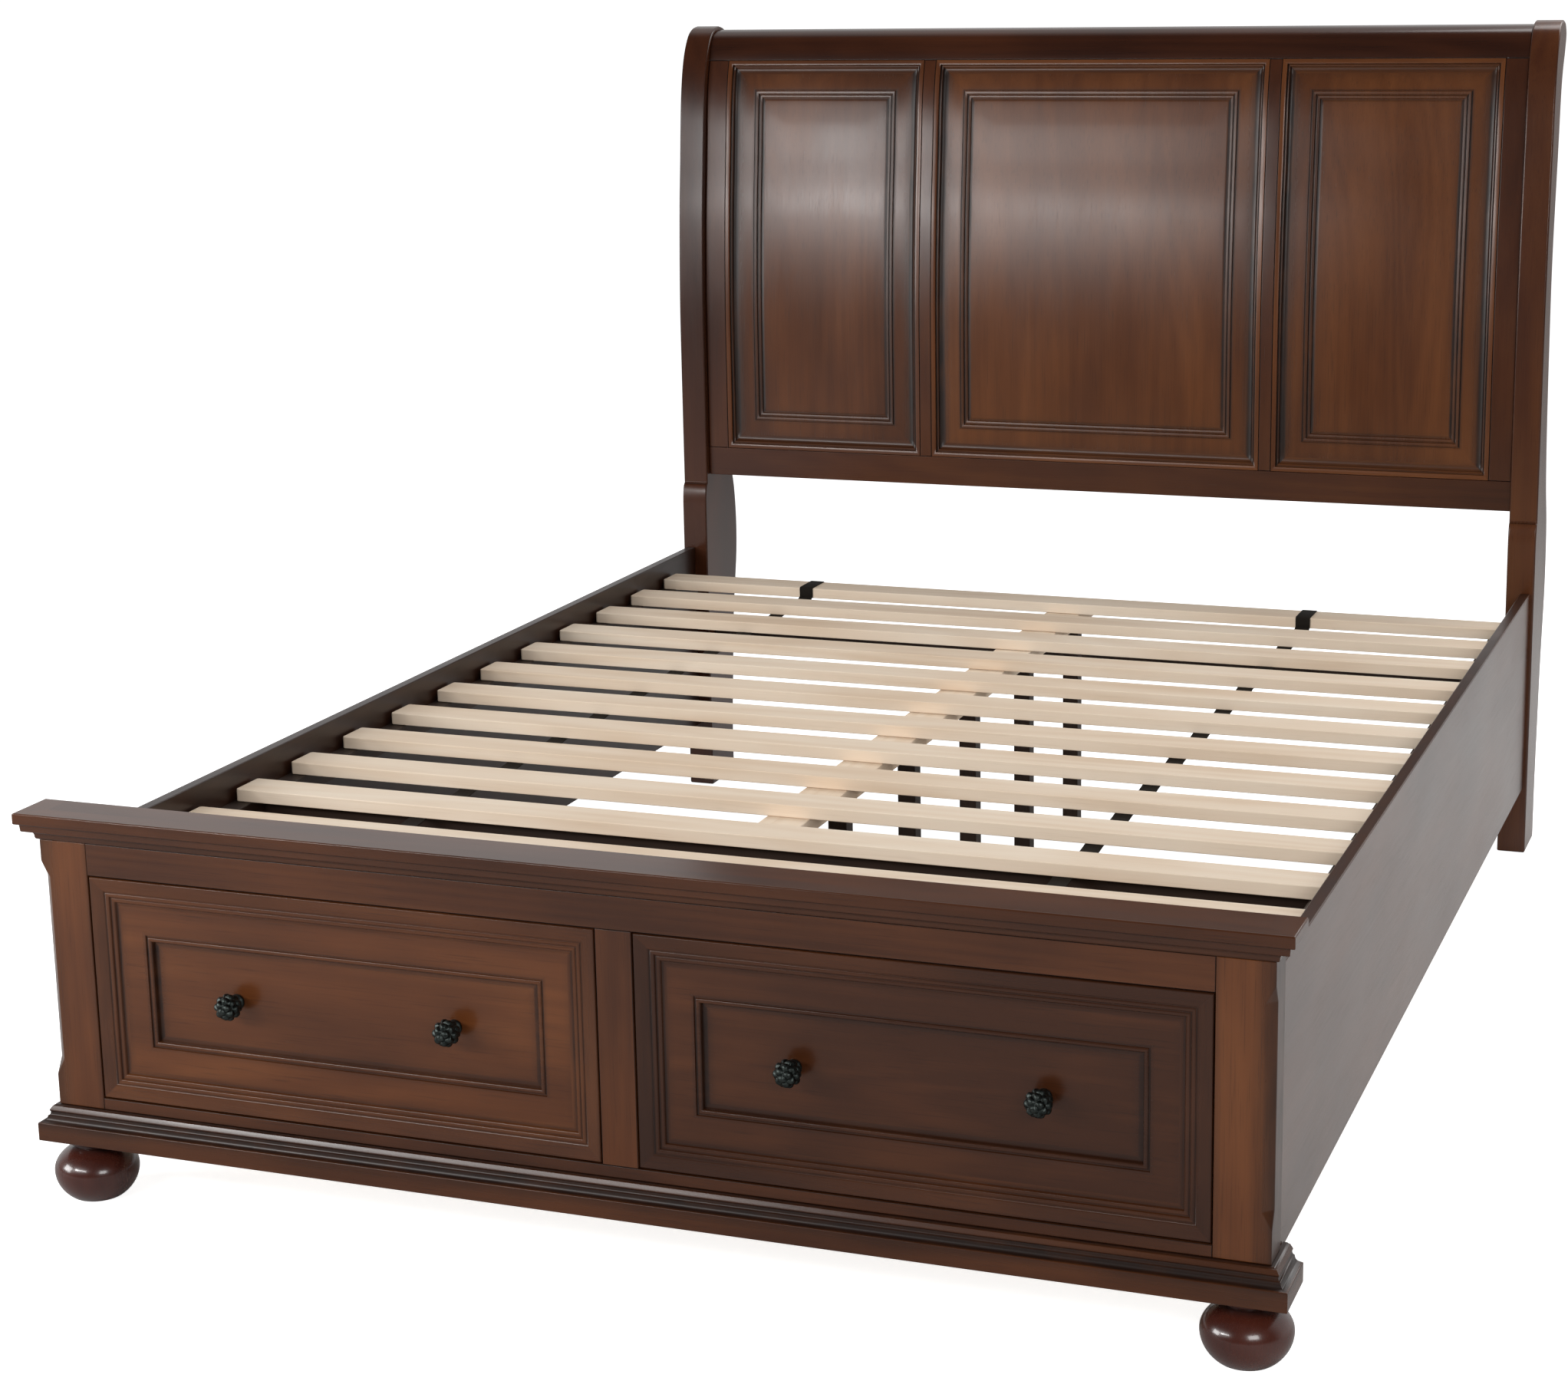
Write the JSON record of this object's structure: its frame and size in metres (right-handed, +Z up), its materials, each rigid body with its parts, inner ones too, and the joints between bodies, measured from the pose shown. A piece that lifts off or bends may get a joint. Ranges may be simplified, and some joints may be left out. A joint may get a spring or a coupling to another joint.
{
  "type": "sleigh bed",
  "caption": "Queen-size sleigh bed with a rolled, panelled headboard, slatted base, side rails and a low footboard holding two drawers on bun feet.",
  "frame": {"origin": "on the floor, under the middle of the bed's overall box", "axes": "+X across the bed to the right seen from the foot end, +Y from the footboard to the headboard, +Z up"},
  "size_m": [1.636, 2.286, 1.437],
  "materials": {
    "stained_wood": "satin dark reddish-brown stain with darker glaze in the grooves",
    "polished_wood": "gloss dark red-brown",
    "dark_wood": "matt dark brown",
    "pine": "unfinished pale sawn pine",
    "drawer_wood": "clear-sealed light wood",
    "knob_metal": "dark pebbled gunmetal"
  },
  "bodies": {
    "bed": {"bun_foot_left": "polished_wood", "bun_foot_right": "polished_wood", "centre_beam": "pine", "centre_leg_1": "dark_wood", "centre_leg_2": "dark_wood", "centre_leg_3": "dark_wood", "centre_leg_4": "dark_wood", "centre_leg_5": "dark_wood", "drawer_deck": "pine", "foot_bottom_rail": "stained_wood", "foot_cap": "stained_wood", "foot_centre_stile": "stained_wood", "foot_plinth": "stained_wood", "foot_post_left": "stained_wood", "foot_post_right": "stained_wood", "foot_top_rail": "stained_wood", "head_post_left": "stained_wood", "head_post_right": "stained_wood", "head_stretcher": "dark_wood", "headboard_bottom_rail": "stained_wood", "headboard_crest_rail": "stained_wood", "headboard_muntin_left": "stained_wood", "headboard_muntin_right": "stained_wood", "headboard_panel_centre": "stained_wood", "headboard_panel_left": "stained_wood", "headboard_panel_right": "stained_wood", "headboard_stile_left": "stained_wood", "headboard_stile_right": "stained_wood", "side_rail_left": "stained_wood", "side_rail_right": "stained_wood", "slat_01": "pine", "slat_02": "pine", "slat_03": "pine", "slat_04": "pine", "slat_05": "pine", "slat_06": "pine", "slat_07": "pine", "slat_08": "pine", "slat_09": "pine", "slat_10": "pine", "slat_11": "pine", "slat_12": "pine", "slat_13": "pine", "slat_cleat_left": "dark_wood", "slat_cleat_right": "dark_wood", "storage_back": "dark_wood"},
    "drawer_left": {"drawer_left_back": "drawer_wood", "drawer_left_bottom": "drawer_wood", "drawer_left_front": "stained_wood", "drawer_left_inner_knob": "knob_metal", "drawer_left_left_side": "drawer_wood", "drawer_left_outer_knob": "knob_metal", "drawer_left_right_side": "drawer_wood"},
    "drawer_right": {"drawer_right_back": "drawer_wood", "drawer_right_bottom": "drawer_wood", "drawer_right_front": "stained_wood", "drawer_right_inner_knob": "knob_metal", "drawer_right_left_side": "drawer_wood", "drawer_right_outer_knob": "knob_metal", "drawer_right_right_side": "drawer_wood"}
  },
  "joints": [
    {"name": "drawer_left_slide", "type": "slide", "parent": "bed", "child": "drawer_left", "axis": [0, -1, 0], "range_m": [0, 0.34]},
    {"name": "drawer_right_slide", "type": "slide", "parent": "bed", "child": "drawer_right", "axis": [0, -1, 0], "range_m": [0, 0.34]}
  ]
}
